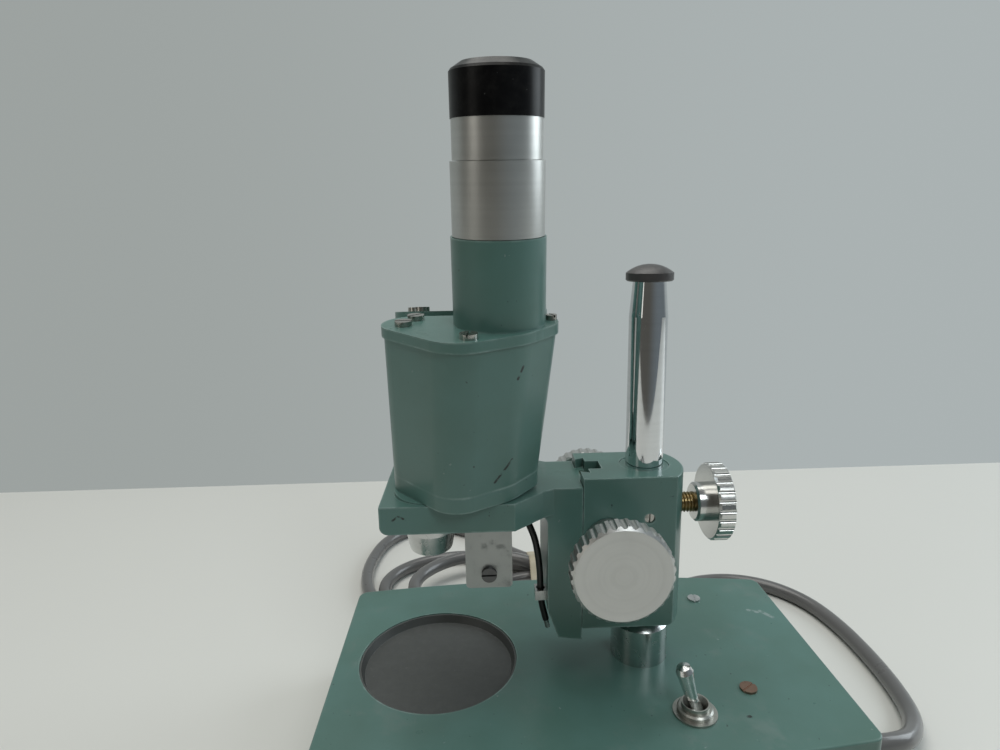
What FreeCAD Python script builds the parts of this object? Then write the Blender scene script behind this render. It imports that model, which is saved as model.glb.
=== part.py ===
import FreeCAD, Part
"""Stereo microscope with two prism bodies on a pillar stand.

Frame: +Z up, millimetres. X runs along the base from the stage (-X) to the pillar (+X), and the XZ plane
is the microscope's plane of symmetry. The origin is the centre of the base's footprint, on the surface
that the rubber feet stand on. The near body is on the -Y side and the far body on the +Y side.
"""
import math
import operator
import os
from types import SimpleNamespace

import Sketcher
from FreeCAD import Placement, Rotation, Vector

SIZES = {
    # base
    "base_length": 197.0, "base_width": 105.2, "side_radius": 700.0, "base_height": 42.0,
    "corner_radius": 4.5, "base_wall": 3.0, "base_roof": 5.0, "foot_height": 3.2, "foot_radius": 7.0,
    "foot_reach_x": 83.0, "foot_reach_y": 40.0, "cover_sheet": 1.5, "post_radius": 4.5,
    # stage plate and its recess
    "stage_x": -57.0, "stage_radius": 32.2, "stage_depth": 5.4, "stage_gap": 0.15, "dish_depth": 3.2,
    # pillar
    "pillar_x": 26.0, "pillar_radius": 7.2, "pillar_taper": 182.0, "pillar_end": 195.0,
    "pillar_tip": 6.1, "collar_radius": 11.4, "collar_height": 17.5, "cap_radius": 8.7,
    # focus block
    "block_length": 35.0, "block_half": 14.8, "block_low": 63.0, "block_high": 124.2,
    "block_end_radius": 22.4, "bush_radius": 9.5, "fit": 0.05,
    "clamp_level": 107.7, "clamp_rod": 4.0, "clamp_hub": 7.7, "clamp_disc": 15.2,
    # focus drive
    "focus_x": 9.4, "focus_level": 99.6, "shaft_radius": 3.0, "knob_radius": 17.85, "knob_face": 41.8,
    "knob_rim": 8.0, "knob_hub": 9.0, "gear_module": 0.8, "gear_pitch_radius": 4.8,
    # arm
    "plate_left": 73.5, "plate_right": 26.2, "plate_half": 27.6, "arm_low": 58.4, "plate_low": 110.5,
    "arm_high": 120.7, "leg_left": 13.3, "seam": 0.2, "tongue_half": 6.6, "tongue_depth": 3.2,
    # lamp
    "lamp_x": -35.5, "lamp_level": 87.1, "bracket_half": 14.0, "bracket_left": 8.8,
    "bracket_low": 81.3, "sheet": 1.5, "lamp_radius": 6.2, "lamp_length": 15.0,
    # microscope bodies, along each body's own axis from its pivot point
    "body_tilt": 6.5, "pivot_y": 9.5, "pivot_level": 87.0, "spigot_radius": 8.0,
    "objective_low": 11.6, "objective_radius": 9.4, "seat_level": 35.7, "flange_low": 35.8,
    "housing_low": 41.6, "housing_high": 93.2, "lid_high": 96.8, "housing_wall": 2.2,
    "shelf_low": 66.0, "shelf_high": 69.0, "tube_x": 26.8, "tube_y": 1.0, "tube_radius": 15.65,
    "tube_high": 125.6, "sleeve_radius": 15.1, "sleeve_high": 148.7, "barrel_radius": 12.5,
    "eyepiece_radius": 14.35, "eyepiece_high": 161.0, "eyecap_radius": 14.6, "eyecap_rim": 174.9,
    "eyecap_high": 176.8, "eyecap_top": 11.0,
    # switch and transformer
    "switch_x": 37.7, "switch_y": -36.6, "lever_lean": 16.0,
    "transformer_x": 62.0, "transformer_near": -25.5, "transformer_far": 36.7,
    # mains cord
    "cord_radius": 3.8, "cord_exit_y": -22.0, "cord_exit_level": 11.5, "cord_exit_x": 114.0,
}

doc = FreeCAD.newDocument("stereo_microscope")
sheet = doc.addObject("Spreadsheet::Sheet", "sizes")
for row, (alias, number) in enumerate(SIZES.items(), start=1):
    sheet.set(f"A{row}", alias)
    sheet.set(f"B{row}", str(number))
    sheet.setAlias(f"B{row}", alias)
doc.recompute()

OPERATIONS = {"+": operator.add, "-": operator.sub, "*": operator.mul, "/": operator.truediv}


class Size:
    """A length from the sheet: its number, and the expression that binds a property to it."""

    def __init__(self, number, text):
        self.number = number
        self.text = text

    def __float__(self):
        return self.number

    def __neg__(self):
        return joined(0.0, "-", self)

    def __add__(self, other):
        return joined(self, "+", other)

    def __radd__(self, other):
        return joined(other, "+", self)

    def __sub__(self, other):
        return joined(self, "-", other)

    def __rsub__(self, other):
        return joined(other, "-", self)

    def __mul__(self, other):
        return joined(self, "*", other)

    def __rmul__(self, other):
        return joined(other, "*", self)

    def __truediv__(self, other):
        return joined(self, "/", other)


def joined(left, sign, right):
    texts = [side.text if isinstance(side, Size) else f"({float(side)})" for side in (left, right)]
    return Size(OPERATIONS[sign](float(left), float(right)), f"({texts[0]} {sign} {texts[1]})")


S = SimpleNamespace(**{alias: Size(number, f"sizes.{alias}") for alias, number in SIZES.items()})


def bind(thing, name, size):
    """Set a property, through the sheet when the size comes from it."""
    if isinstance(size, Size):
        thing.setExpression(name, size.text)
    else:
        setattr(thing, name, size)


def spot(x=0.0, y=0.0, z=0.0, rotation=Rotation()):
    return Placement(Vector(float(x), float(y), float(z)), rotation)


SUBPARTS = []
X_AXIS, Y_AXIS, Z_AXIS = Vector(1, 0, 0), Vector(0, 1, 0), Vector(0, 0, 1)
ALONG_X = Rotation(Y_AXIS, 90)
ALONG_Y = Rotation(X_AXIS, -90)
ALONG_MINUS_Y = Rotation(X_AXIS, 90)


class Piece:
    """One sub-part made as a PartDesign body."""

    def __init__(self, label, placement=Placement()):
        self.body = doc.addObject("PartDesign::Body", label)
        self.body.Label = label
        self.body.Placement = placement
        SUBPARTS.append(self.body)

    def sketch(self, plane="XY_Plane", offset=0.0, tilt=None):
        made = self.body.newObject("Sketcher::SketchObject", self.body.Name + "_sketch")
        origin = next(item for item in self.body.Origin.OriginFeatures if item.Role == plane)
        made.AttachmentSupport = [(origin, "")]
        made.MapMode = "FlatFace"
        if tilt is not None:
            made.AttachmentOffset = tilt
        else:
            made.AttachmentOffset = spot(z=offset)
            if isinstance(offset, Size):
                made.setExpression("AttachmentOffset.Base.z", offset.text)
        return made

    def feature(self, kind, profile, **settings):
        made = self.body.newObject("PartDesign::" + kind, self.body.Name + "_" + kind.lower())
        if profile is not None:
            made.Profile = profile
            profile.Visibility = False
        for name, size in settings.items():
            bind(made, name, size)
        return made

    def pad(self, profile, length, **settings):
        return self.feature("Pad", profile, Length=length, **settings)

    def pocket(self, profile, length, **settings):
        """A pocket that must take material away."""
        doc.recompute()
        before = self.body.Shape.Volume
        made = self.feature("Pocket", profile, Length=length, **settings)
        doc.recompute()
        if self.body.Shape.Volume > before - 0.01:
            raise RuntimeError(f"a pocket of {self.body.Label} cuts nothing")
        return made

    def revolve(self, profile, kind="Revolution"):
        made = self.feature(kind, profile)
        made.ReferenceAxis = (profile, ["V_Axis"])
        made.Angle = 360.0
        return made

    def edges(self, chosen):
        doc.recompute()
        shape = self.body.Tip.Shape
        return [f"Edge{number}" for number, edge in enumerate(shape.Edges, start=1) if chosen(edge)]

    def soften(self, kind, size, chosen):
        """Fillet or Chamfer on the chosen edges of the body so far."""
        names = self.edges(chosen)
        base = self.body.Tip
        made = self.body.newObject("PartDesign::" + kind, self.body.Name + "_" + kind.lower())
        made.Base = (base, names)
        bind(made, "Radius" if kind == "Fillet" else "Size", size)
        self.body.Tip = made
        return made

    def around(self, original, count, axis="Z_Axis"):
        """Repeat a feature evenly round one of the body's axes."""
        made = self.body.newObject("PartDesign::PolarPattern", self.body.Name + "_polar")
        made.Originals = [original]
        line = next(item for item in self.body.Origin.OriginFeatures if item.Role == axis)
        made.Axis = (line, [""])
        made.Angle = 360.0
        made.Occurrences = count
        self.body.Tip = made
        return made


def hold(kind, line, size):
    """The constraint that holds the start of a line at its distance from the sketch's origin."""
    if abs(float(size)) < 1e-9:
        return Sketcher.Constraint("PointOnObject", line, 1, -2 if kind == "DistanceX" else -1)
    return Sketcher.Constraint(kind, -1, 1, line, 1, float(size))


def outline(made, corners):
    """Closed outline, counter-clockwise. A corner's third value is the radius of the arc that leaves it."""
    count = len(corners)
    points = [Vector(float(corner[0]), float(corner[1]), 0) for corner in corners]
    shapes = []
    for place, corner in enumerate(corners):
        start, end = points[place], points[(place + 1) % count]
        if len(corner) == 3:
            chord = end - start
            radius = float(corner[2])
            rise = radius - math.sqrt(radius ** 2 - (chord.Length / 2) ** 2)
            outward = Vector(chord.y, -chord.x, 0).normalize()
            shapes.append(Part.Arc(start, (start + end) / 2 + outward * rise, end))
        else:
            shapes.append(Part.LineSegment(start, end))
    first = made.GeometryCount
    made.addGeometry(shapes, False)
    rules = [Sketcher.Constraint("Coincident", first + place, 2, first + (place + 1) % count, 1)
             for place in range(count)]
    bound = []
    for place, corner in enumerate(corners):
        for kind, size in zip(("DistanceX", "DistanceY"), corner):
            bound.append((len(rules), size))
            rules.append(hold(kind, first + place, size))
        if len(corner) == 3:
            bound.append((len(rules), corner[2]))
            rules.append(Sketcher.Constraint("Radius", first + place, float(corner[2])))
    offset = made.ConstraintCount
    made.addConstraint(rules)
    for place, size in bound:
        if isinstance(size, Size) and abs(size.number) > 1e-9:
            made.setExpression(f"Constraints[{offset + place}]", size.text)
    return made


def ring(made, radius, x=0.0, y=0.0):
    """A circle held at its centre and radius."""
    line = made.addGeometry(Part.Circle(Vector(float(x), float(y), 0), Z_AXIS, float(radius)), False)
    for kind, size in (("DistanceX", x), ("DistanceY", y)):
        if abs(float(size)) < 1e-9:
            rule = Sketcher.Constraint("PointOnObject", line, 3, -2 if kind == "DistanceX" else -1)
            made.addConstraint(rule)
        else:
            number = made.addConstraint(Sketcher.Constraint(kind, -1, 1, line, 3, float(size)))
            if isinstance(size, Size):
                made.setExpression(f"Constraints[{number}]", size.text)
    number = made.addConstraint(Sketcher.Constraint("Radius", line, float(radius)))
    if isinstance(radius, Size):
        made.setExpression(f"Constraints[{number}]", radius.text)
    return made


def box_outline(made, low_x, low_y, high_x, high_y):
    return outline(made, [(low_x, low_y), (high_x, low_y), (high_x, high_y), (low_x, high_y)])


def turned(label, profile, placement=Placement()):
    """A piece turned about its own Z axis from (radius, height) corners."""
    made = Piece(label, placement)
    made.revolve(outline(made.sketch("XZ_Plane"), profile))
    return made


def upright(edge):
    return isinstance(edge.Curve, Part.Line) and abs(abs(edge.Curve.Direction.z) - 1) < 0.02


def cylinder(name, radius, height, placement):
    made = doc.addObject("Part::Cylinder", name)
    bind(made, "Radius", radius)
    bind(made, "Height", height)
    made.Placement = placement
    return made


def box(name, size_x, size_y, size_z, placement):
    made = doc.addObject("Part::Box", name)
    for side, size in zip(("Length", "Width", "Height"), (size_x, size_y, size_z)):
        bind(made, side, size)
    made.Placement = placement
    return made


def fused(name, parts):
    made = doc.addObject("Part::MultiFuse", name)
    made.Shapes = parts
    return made


def cut(name, base, tool):
    made = doc.addObject("Part::Cut", name)
    made.Base = base
    made.Tool = tool
    return made


def named(made, label):
    """Enter an object that isn't a body as a sub-part."""
    made.Label = label
    SUBPARTS.append(made)
    return made


def group(label, members):
    made = doc.addObject("Part::Compound", label)
    made.Links = members
    return named(made, label)


def screw(name, placement, head_radius, head_height, shank_radius, length, slot_turn=0.0):
    """A slotted cheese-head screw. Its head's underside is at the placement and it points to local -Z."""
    head = cylinder(name + "_head", head_radius, head_height, Placement())
    shank = cylinder(name + "_shank", shank_radius, length, spot(z=-float(length)))
    slot = box(name + "_slot", 4 * head_radius, 0.7, head_height, spot(-2 * head_radius, -0.35,
                                                                     head_height * 0.55))
    turned_slot = Placement(Vector(), Rotation(Z_AXIS, slot_turn)) * slot.Placement
    slot.Placement = turned_slot
    whole = cut(name, fused(name + "_blank", [head, shank]), slot)
    whole.Placement = placement
    return whole


def feature(label, shape, placement=Placement()):
    """A sub-part whose shape is made with Part's own functions."""
    made = doc.addObject("Part::Feature", label)
    made.Shape = shape
    made.Placement = placement
    return named(made, label)


# ------------------------------------------------------------------ base

def base_outline(made, inset):
    """The footprint: two straight ends and two gently bowed sides."""
    reach_x, reach_y = S.base_length / 2 - inset, S.base_width / 2 - inset
    radius = S.side_radius - inset
    return outline(made, [(-reach_x, -reach_y, radius), (reach_x, -reach_y),
                          (reach_x, reach_y, radius), (-reach_x, reach_y)])


def feet_spots():
    return [(side_x * S.foot_reach_x, side_y * S.foot_reach_y) for side_x in (-1, 1) for side_y in (-1, 1)]


def make_base_shell():
    made = Piece("base_shell")
    made.pad(base_outline(made.sketch(offset=S.foot_height), 0.0), S.base_height - S.foot_height)
    made.soften("Fillet", S.corner_radius, upright)
    hollow = S.base_height - S.base_roof - S.foot_height
    made.pocket(base_outline(made.sketch(offset=S.foot_height), S.base_wall), hollow, Reversed=True)
    roof = S.base_height - S.base_roof
    thick = ring(made.sketch(offset=roof - 4.0), S.stage_radius + 3, S.stage_x)
    made.pad(thick, 4.5)
    boss = ring(made.sketch(offset=roof - 14.0), 13.0, S.pillar_x)
    made.pad(boss, 14.5)
    posts = made.sketch(offset=S.foot_height + S.cover_sheet)
    for x, y in feet_spots():
        ring(posts, S.post_radius, x, y)
    made.pad(posts, roof - S.foot_height - S.cover_sheet + 0.5)
    recess = ring(made.sketch(offset=S.base_height), S.stage_radius, S.stage_x)
    made.pocket(recess, S.stage_depth)
    finger = ring(made.sketch(offset=S.base_height), 8.0, S.stage_x)
    made.pocket(finger, 20.0)
    made.pocket(ring(made.sketch(offset=S.base_height), S.pillar_radius, S.pillar_x), 30.0)
    made.pocket(ring(made.sketch(offset=S.base_height), 5.0, S.switch_x, S.switch_y), 10.0)
    holes = made.sketch(offset=S.base_height)
    for y in (S.transformer_near, S.transformer_far):
        ring(holes, 1.8, S.transformer_x, y)
    made.pocket(holes, 10.0)
    pilot = made.sketch(offset=S.foot_height)
    for x, y in feet_spots():
        ring(pilot, 1.5, x, y)
    made.pocket(pilot, 14.0, Reversed=True)
    exit_hole = ring(made.sketch("YZ_Plane", S.base_length / 2), 6.3, S.cord_exit_y, S.cord_exit_level)
    made.pocket(exit_hole, 12.0, Midplane=True)
    made.soften("Fillet", 0.6, lambda edge: abs(edge.BoundBox.ZMin - float(S.base_height)) < 0.01
                and abs(edge.BoundBox.ZMax - float(S.base_height)) < 0.01
                and edge.BoundBox.YLength > 60 and edge.BoundBox.DiagonalLength < 110
                and abs(abs(edge.CenterOfMass.x) - float(S.base_length) / 2) < 1)
    return made


def make_base_cover():
    made = Piece("base_cover")
    made.pad(base_outline(made.sketch(offset=S.foot_height), S.base_wall + 0.3), S.cover_sheet)
    made.soften("Fillet", 1.5, upright)
    holes = made.sketch(offset=S.foot_height)
    for x, y in feet_spots():
        ring(holes, 1.7, x, y)
    made.pocket(holes, 5.0, Reversed=True)
    return made


def make_feet():
    feet = []
    for number, (x, y) in enumerate(feet_spots()):
        pad = cylinder(f"foot_{number}", S.foot_radius, S.foot_height, spot(x, y))
        well = cylinder(f"foot_well_{number}", 3.6, S.foot_height, spot(x, y, -0.8))
        hole = cylinder(f"foot_hole_{number}", 1.7, 9.0, spot(x, y, -1.0))
        feet.append(cut(f"foot_body_{number}", pad, fused(f"foot_tool_{number}", [well, hole])))
    group("rubber_feet", feet)
    downwards = Rotation(X_AXIS, 180)
    screws = [screw(f"cover_screw_{number}", spot(x, y, S.foot_height - 0.8, downwards), 2.8, 1.6, 1.5, 9.0)
              for number, (x, y) in enumerate(feet_spots())]
    group("base_cover_screws", screws)


def make_stage_plate():
    top = S.base_height - 0.4
    low = S.base_height - S.stage_depth
    rim = S.stage_radius - S.stage_gap
    floor = top - S.dish_depth
    turned("stage_plate", [(0, low), (rim, low), (rim, top), (rim - 0.6, top), (rim - 2.0, floor),
                           (0, floor)], spot(S.stage_x))


def make_pillar():
    foot = S.base_height - S.base_roof - 14.0
    turned("pillar", [(0, foot - 9.0), (4.0, foot - 9.0), (4.0, foot), (S.pillar_radius, foot),
                      (S.pillar_radius, S.pillar_taper), (S.pillar_tip, S.pillar_end), (0, S.pillar_end)],
           spot(S.pillar_x))
    nut = Piece("pillar_nut", spot(S.pillar_x, 0, float(foot) - 6.0))
    flats = nut.sketch()
    reach = 8.0
    outline(flats, [(reach * math.cos(math.radians(60 * turn)), reach * math.sin(math.radians(60 * turn)))
                    for turn in range(6)])
    nut.pad(flats, 6.0)
    nut.pocket(ring(nut.sketch(), 4.0), 6.0, Reversed=True)
    top = S.base_height + S.collar_height
    turned("pillar_collar", [(S.pillar_radius, S.base_height), (S.collar_radius, S.base_height),
                             (S.collar_radius, top - 2.2), (S.collar_radius - 2.2, top),
                             (S.pillar_radius, top)], spot(S.pillar_x))
    cap = Piece("pillar_cap", spot(S.pillar_x, 0, S.pillar_end))
    rim, dome = 3.0, 3.2
    dome_radius = S.cap_radius * S.cap_radius / (2 * dome) + dome / 2
    cap.revolve(outline(cap.sketch("XZ_Plane"), [(0, 0), (S.cap_radius - 0.5, 0), (S.cap_radius, 0.5),
                                                 (S.cap_radius, rim, dome_radius), (0, rim + dome)]))
    return cap


def make_switch():
    roof = float(S.base_height - S.base_roof)
    top = float(S.base_height)
    here = spot(S.switch_x, S.switch_y)
    body = box("switch_case", 27.0, 14.0, 17.0, spot(-13.5, -7, roof - 17))
    bushing = cylinder("switch_bushing", 4.95, top + 4.4 - roof, spot(z=roof))
    bore = cylinder("switch_bore", 3.4, 12.0, spot(z=top - 1.6))
    mouth = doc.addObject("Part::Cone", "switch_mouth")
    mouth.Radius1, mouth.Radius2, mouth.Height = 3.4, 4.5, 2.8
    mouth.Placement = spot(z=top + 1.7)
    whole = cut("switch_body", fused("switch_blank", [body, bushing]),
                fused("switch_hollow", [bore, mouth]))
    whole.Placement = here
    named(whole, "switch_body")
    washer = cylinder("switch_washer", 7.9, 0.8, spot(z=top))
    nut = cylinder("switch_nut_ring", 6.4, 1.9, spot(z=top + 0.8))
    chamfered = doc.addObject("Part::Chamfer", "switch_nut_chamfer")
    chamfered.Base = nut
    doc.recompute()
    top_edges = [number for number, edge in enumerate(nut.Shape.Edges, start=1)
                 if edge.BoundBox.ZMin > top + 2]
    chamfered.Edges = [(number, 0.6, 0.6) for number in top_edges]
    hole = cylinder("switch_nut_hole", 4.95, 12.0, spot(z=top - 1))
    ring_part = cut("switch_nut", fused("switch_nut_blank", [washer, chamfered]), hole)
    ring_part.Placement = here
    named(ring_part, "switch_nut")
    lean = Rotation(Y_AXIS, -SIZES["lever_lean"])
    turned("switch_lever", [(0, -1.2), (1.6, -1.2), (2.9, 0.6), (2.4, 2.4), (2.2, 5.0), (2.4, 9.0),
                            (2.9, 14.5), (3.1, 16.6), (2.4, 18.4), (0, 19.1)],
           spot(S.switch_x, S.switch_y, S.base_height + 1.2, lean))


def make_transformer():
    """An iron core with two windows, hung by a strap from the roof of the base; the coil fills the windows."""
    roof = float(S.base_height - S.base_roof)
    middle_y = float(S.transformer_near + S.transformer_far) / 2
    level = roof - 1.2 - 15.0
    centre = spot(S.transformer_x, middle_y, level)
    block = box("core_block", 20.0, 44.0, 30.0, spot(-10, -22, -15))
    strap = box("core_strap", 12.0, 74.0, 1.2, spot(-6, -37, 15.0))
    windows = [box(f"core_window_{side}", 24.0, 9.0, 16.0, spot(-12, low, -8))
               for side, low in (("near", -15.0), ("far", 6.0))]
    half = float(S.transformer_far - S.transformer_near) / 2
    holes = [cylinder(f"core_hole_{side}", 1.8, 4.0, spot(0, side * half, 14.0)) for side in (-1, 1)]
    core = cut("transformer_core", fused("core_blank", [block, strap]), fused("core_tool", windows + holes))
    core.Placement = centre
    named(core, "transformer_core")
    coil = box("coil_block", 34.0, 29.6, 15.6, spot(-17, -14.8, -7.8))
    leg = box("coil_hole", 20.1, 12.1, 20.0, spot(-10.05, -6.05, -10))
    winding = cut("transformer_winding", coil, leg)
    winding.Placement = centre
    named(winding, "transformer_winding")
    top = float(S.base_height)
    heads = [screw("transformer_screw_near", spot(S.transformer_x, S.transformer_near, top), 3.2, 0.9, 1.75,
                   12.0, 35.0),
             screw("transformer_screw_far", spot(S.transformer_x, S.transformer_far, top), 2.9, 0.8, 1.75,
                   12.0, 80.0)]
    nuts = []
    for number, y in enumerate((S.transformer_near, S.transformer_far)):
        nut = cylinder(f"transformer_nut_{number}", 3.2, 2.4,
                       spot(S.transformer_x, y, roof - 1.2 - 2.4))
        hole = cylinder(f"transformer_nut_hole_{number}", 1.75, 6.0, spot(S.transformer_x, y, roof - 6))
        nuts.append(cut(f"transformer_nut_body_{number}", nut, hole))
    group("transformer_screws", heads + nuts)


# ------------------------------------------------------------------ focus block and its drive

def make_focus_block():
    made = Piece("focus_block")
    half, height = S.block_half, S.block_high - S.block_low
    plan = [(0, -half), (S.block_length, -half, S.block_end_radius), (S.block_length, half), (0, half)]
    made.pad(outline(made.sketch(offset=S.block_low), plan), height)
    made.soften("Fillet", 1.6, lambda edge: abs(edge.CenterOfMass.z - float(S.block_low)) < 0.1
                and edge.CenterOfMass.x > float(S.block_length) - 1)
    made.soften("Fillet", 0.6, lambda edge: abs(edge.CenterOfMass.z - float(S.block_high)) < 0.1
                and edge.CenterOfMass.x > 1)
    made.pocket(ring(made.sketch(offset=S.block_high), S.bush_radius + S.fit, S.pillar_x), height + 1)
    slope, clearance = 0.5, 0.1
    mouth, depth = -0.5, S.tongue_depth + 0.2
    narrow = S.tongue_half + clearance + mouth * slope
    wide = S.tongue_half + clearance + depth * slope
    slot = [(mouth, -narrow), (depth, -wide), (depth, wide), (mouth, narrow)]
    made.pocket(outline(made.sketch(offset=S.block_high), slot), height + 1)
    rack_way = box_outline(made.sketch(offset=S.block_high), 3.0, -4.2, 8.6, 4.2)
    made.pocket(rack_way, height + 1)
    made.pocket(ring(made.sketch("XZ_Plane"), 6.6, S.focus_x, S.focus_level), 8.4, Midplane=True)
    made.pocket(ring(made.sketch("XZ_Plane"), 5.0, S.focus_x, S.focus_level), half * 2 + 2, Midplane=True)
    rod = ring(made.sketch("YZ_Plane", 40.0), S.clamp_rod + S.fit, 0, S.clamp_level)
    made.pocket(rod, 20.0, Midplane=True)
    set_screw = ring(made.sketch("XZ_Plane", half), 2.0, S.pillar_x - 1, S.clamp_level)
    made.pocket(set_screw, 12.0, Midplane=True)
    return made


def make_block_fittings():
    turned("pillar_bush", [(S.pillar_radius + S.fit, S.block_low + 0.3), (S.bush_radius, S.block_low + 0.3),
                           (S.bush_radius, S.block_high - 0.4),
                           (S.pillar_radius + S.fit, S.block_high - 0.4)], spot(S.pillar_x))
    rod = cylinder("set_screw_rod", 2.0, 4.4, spot())
    slot = box("set_screw_slot", 0.7, 6.0, 1.2, spot(-0.35, -3.0, 3.6))
    grub = cut("block_set_screw", rod, slot)
    grub.Placement = spot(S.pillar_x - 1, -9.7, S.clamp_level, ALONG_MINUS_Y)
    named(grub, "block_set_screw")
    bushes = []
    for side in (-1, 1):
        sleeve = cylinder(f"bush_sleeve_{side}", 5.0, 8.6, spot())
        bore = cylinder(f"bush_bore_{side}", S.shaft_radius + S.fit, 12.0, spot(z=-1))
        bush = cut(f"shaft_bush_{side}", sleeve, bore)
        bush.Placement = spot(S.focus_x, side * 6.2, S.focus_level, ALONG_Y if side > 0 else ALONG_MINUS_Y)
        bushes.append(bush)
    group("shaft_bushes", bushes)


def fluted(made, radius, low, high, count, groove):
    """Grip flutes: one round groove along the rim, repeated round the axis."""
    profile = ring(made.sketch(offset=low), groove, radius + groove * 0.45)
    first = made.pocket(profile, high - low, Reversed=True)
    made.around(first, count)


def make_clamp():
    level = spot(0, 0, S.clamp_level, ALONG_X)
    bush = float(S.pillar_x + S.bush_radius)
    turned("clamp_screw", [(0, bush + 0.2), (3.0, bush + 0.2), (S.clamp_rod, bush + 1.2),
                           (S.clamp_rod, 56.0), (0, 56.0)], level)
    made = Piece("clamp_knob", level)
    disc = S.clamp_disc
    made.revolve(outline(made.sketch("XZ_Plane"), [
        (S.clamp_rod, 45.9), (S.clamp_hub - 0.8, 45.9), (S.clamp_hub, 46.7), (S.clamp_hub, 51.4),
        (disc - 0.8, 51.4), (disc, 52.2), (disc, 57.4), (disc - 0.6, 58.0), (0, 58.0), (0, 56.0),
        (S.clamp_rod, 56.0)]))
    fluted(made, disc, 50.0, 60.0, 26, 1.15)


def make_focus_shaft():
    made = Piece("focus_shaft", spot(S.focus_x, 0, S.focus_level, ALONG_Y))
    root, tooth_root, tooth_tip = S.gear_pitch_radius - 1.2, 0.78, 0.3
    tip = S.gear_pitch_radius + 0.7
    end = S.knob_face - 2.0
    made.revolve(outline(made.sketch("XZ_Plane"), [
        (0, -end), (S.shaft_radius, -end), (S.shaft_radius, -3.4), (root, -3.4), (root, 3.4),
        (S.shaft_radius, 3.4), (S.shaft_radius, end), (0, end)]))
    tooth = outline(made.sketch(offset=-3.4), [(root - 0.4, -tooth_root), (tip, -tooth_tip),
                                               (tip, tooth_tip), (root - 0.4, tooth_root)])
    first = made.pad(tooth, 6.8)
    made.around(first, 12)


def make_focus_knobs():
    for label, turn in (("near_focus_knob", ALONG_MINUS_Y), ("far_focus_knob", ALONG_Y)):
        made = Piece(label, spot(S.focus_x, 0, S.focus_level, turn))
        rim, face = S.knob_radius, S.knob_face
        back = face - S.knob_rim
        made.revolve(outline(made.sketch("XZ_Plane"), [
            (S.shaft_radius, S.block_half + 0.5), (S.knob_hub, S.block_half + 0.5), (S.knob_hub, back),
            (rim - 0.8, back), (rim, back + 0.8), (rim, face - 1.0), (rim - 1.2, face), (0, face),
            (0, face - 2.0), (S.shaft_radius, face - 2.0)]))
        fluted(made, rim, back - 1, face + 1, 32, 1.3)


# ------------------------------------------------------------------ arm, rack and lamp

def body_frame(side, height=0.0, x=0.0, y=0.0):
    """Frame of a microscope body. side is +1 for near and -1 for far; height is along the tilted axis."""
    tilt = Placement(Vector(SIZES["stage_x"], -side * SIZES["pivot_y"], SIZES["pivot_level"]),
                     Rotation(X_AXIS, side * SIZES["body_tilt"]))
    return tilt * spot(x, side * float(y), height)


def make_arm_casting():
    made = Piece("arm_casting")
    low, high = S.plate_low, S.arm_high
    half, arm = S.plate_half, S.block_half
    near_edge = [(-S.plate_left, -half), (-S.plate_right, -half), (-15.2, -17.3), (-11.0, -arm),
                 (-S.seam, -arm)]
    far_edge = [(x, -1 * y) for x, y in reversed(near_edge)]
    made.pad(outline(made.sketch(offset=low), near_edge + far_edge), high - low)
    made.soften("Fillet", 3.0, lambda edge: abs(edge.CenterOfMass.z - float(low)) < 0.1
                and edge.CenterOfMass.x < -float(S.plate_left) + 0.1)
    leg = [(-9.2, 59.5), (-S.seam, S.arm_low), (-S.seam, high - 2.0), (-S.leg_left, high - 2.0),
           (-S.leg_left, 71.1)]
    made.pad(outline(made.sketch("XZ_Plane"), leg), arm * 2, Midplane=True)
    made.soften("Fillet", 4.0, lambda edge: abs(edge.CenterOfMass.z - float(low)) < 0.1
                and abs(edge.CenterOfMass.x + float(S.leg_left)) < 0.1)
    slope = 0.5
    narrow, wide = S.tongue_half - S.seam * slope - 0.2, S.tongue_half + S.tongue_depth * slope
    tongue = [(-S.seam - 0.4, -narrow), (S.tongue_depth, -wide), (S.tongue_depth, wide),
              (-S.seam - 0.4, narrow)]
    made.pad(outline(made.sketch(offset=S.arm_low + 0.6), tongue), high - S.arm_low - 0.6)
    groove = box_outline(made.sketch(offset=high), 0.8, -3.5, S.tongue_depth + 1, 3.5)
    made.pocket(groove, high - S.arm_low + 1)
    for side in (1, -1):
        seat = ring(made.sketch(tilt=body_frame(side, 27.0)), 12.5)
        made.pad(seat, S.seat_level - 27.0)
    for side in (1, -1):
        bore = ring(made.sketch(tilt=body_frame(side, S.seat_level + 1)), S.spigot_radius + S.fit)
        made.pocket(bore, 22.0)
    return made


def make_rack():
    """Toothed strip in the tongue's groove; its pitch line is tangent to the pinion's pitch circle."""
    made = Piece("rack")
    line = float(S.focus_x - S.gear_pitch_radius)
    root, tip = line - 0.95, line + 0.7
    low, high = 60.2, 119.8
    made.pad(box_outline(made.sketch(offset=low), 0.8, -3.5, root, 3.5), high - low)
    pitch = math.pi * SIZES["gear_module"]
    level = SIZES["focus_level"]
    below = math.floor((level - low - 1.5) / pitch - 0.5)
    start = level - (below + 0.5) * pitch
    count = int((high - 1.2 - start) / pitch) + 1
    tooth = outline(made.sketch("XZ_Plane"), [(root - 0.3, start - 0.78), (tip, start - 0.32),
                                              (tip, start + 0.32), (root - 0.3, start + 0.78)])
    first = made.pad(tooth, 6.6, Midplane=True)
    doc.recompute()
    rows = made.body.newObject("PartDesign::LinearPattern", "rack_rows")
    rows.Originals = [first]
    upward = next(item for item in made.body.Origin.OriginFeatures if item.Role == "Z_Axis")
    rows.Direction = (upward, [""])
    rows.Length = pitch * (count - 1)
    rows.Occurrences = count
    made.body.Tip = rows


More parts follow.
